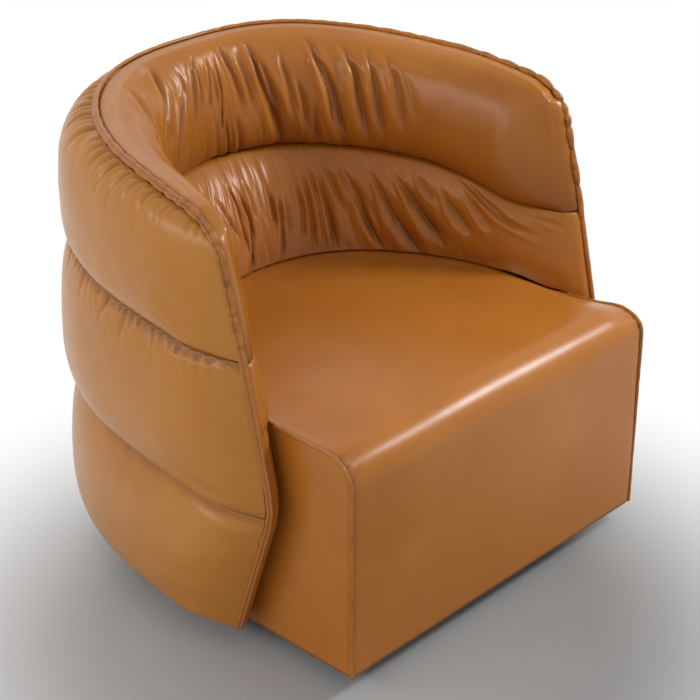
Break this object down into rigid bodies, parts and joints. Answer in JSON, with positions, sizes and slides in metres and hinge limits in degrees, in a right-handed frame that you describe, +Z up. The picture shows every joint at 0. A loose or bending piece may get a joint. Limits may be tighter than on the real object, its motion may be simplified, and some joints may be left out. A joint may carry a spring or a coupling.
{
  "type": "tub swivel chair",
  "caption": "Low tub armchair on a hidden swivel: a square leather seat block in a horseshoe barrel of padded leather channels, with pleated rolls inside.",
  "frame": {"origin": "centre of the overall box on the floor, which is on the swivel axis", "axes": "+Z up along the swivel axis, the seat faces -Y, +X to the seat's right as seen from the front"},
  "size_m": [0.8386, 0.7658, 0.7666],
  "materials": {
    "tan_leather": "smooth semi-gloss cognac",
    "welt_leather": "smooth, darker at the seams",
    "plywood": "raw birch plywood",
    "hardwood": "raw beech",
    "fibreboard": "raw fibreboard",
    "zinc_steel": "zinc plated",
    "cage_brass": "stamped",
    "foam": "open-cell foam",
    "felt": "needled felt",
    "black_cloth": "spun-bonded cloth",
    "glide_plastic": "matt"
  },
  "bodies": {
    "base": {"glides": "glide_plastic", "base_disc": "plywood", "lower_race_plate": "zinc_steel", "base_screws": "zinc_steel", "pivot_tube": "zinc_steel"},
    "ball_ring": {"ball_cage": "cage_brass", "bearing_balls": "zinc_steel"},
    "chair": {"upper_race_plate": "zinc_steel", "swivel_bolts": "zinc_steel", "swivel_board": "plywood", "bearer_front": "hardwood", "bearer_rear": "hardwood", "front_rail": "plywood", "side_rail_left": "plywood", "side_rail_right": "plywood", "angled_rail_left": "plywood", "angled_rail_right": "plywood", "rear_rail": "plywood", "corner_blocks": "hardwood", "dust_cover": "black_cloth", "seat_springs": "zinc_steel", "spring_clips": "zinc_steel", "spring_felt": "felt", "seat_foam": "foam", "front_padding": "foam", "side_padding_left": "foam", "side_padding_right": "foam", "seat_cover": "tan_leather", "side_panel_left": "tan_leather", "side_panel_right": "tan_leather", "side_piping_left": "welt_leather", "side_piping_right": "welt_leather", "barrel_spacers": "hardwood", "barrel_bolts": "zinc_steel", "base_hoop": "plywood", "seat_hoop": "plywood", "top_hoop": "plywood", "barrel_posts": "hardwood", "arm_panel_left": "plywood", "arm_panel_right": "plywood", "inner_lining": "tan_leather", "outer_lining": "fibreboard", "channel_lower": "tan_leather", "channel_middle": "tan_leather", "channel_upper": "tan_leather", "roll_lower": "tan_leather", "roll_upper": "tan_leather", "arm_facing_left": "tan_leather", "arm_facing_right": "tan_leather", "rim_welt": "welt_leather", "barrel_underside": "black_cloth"}
  },
  "joints": [
    {"name": "seat_swivel", "type": "hinge", "parent": "base", "child": "chair", "pos_m": [0, 0, 0.0295], "axis": [0, 0, 1], "continuous": true},
    {"name": "ball_ring_turn", "type": "hinge", "parent": "base", "child": "ball_ring", "pos_m": [0, 0, 0.0295], "axis": [0, 0, 1], "continuous": true}
  ],
  "couplings": [
    {"joint": "ball_ring_turn", "follows": "seat_swivel", "ratio": 0.5}
  ]
}
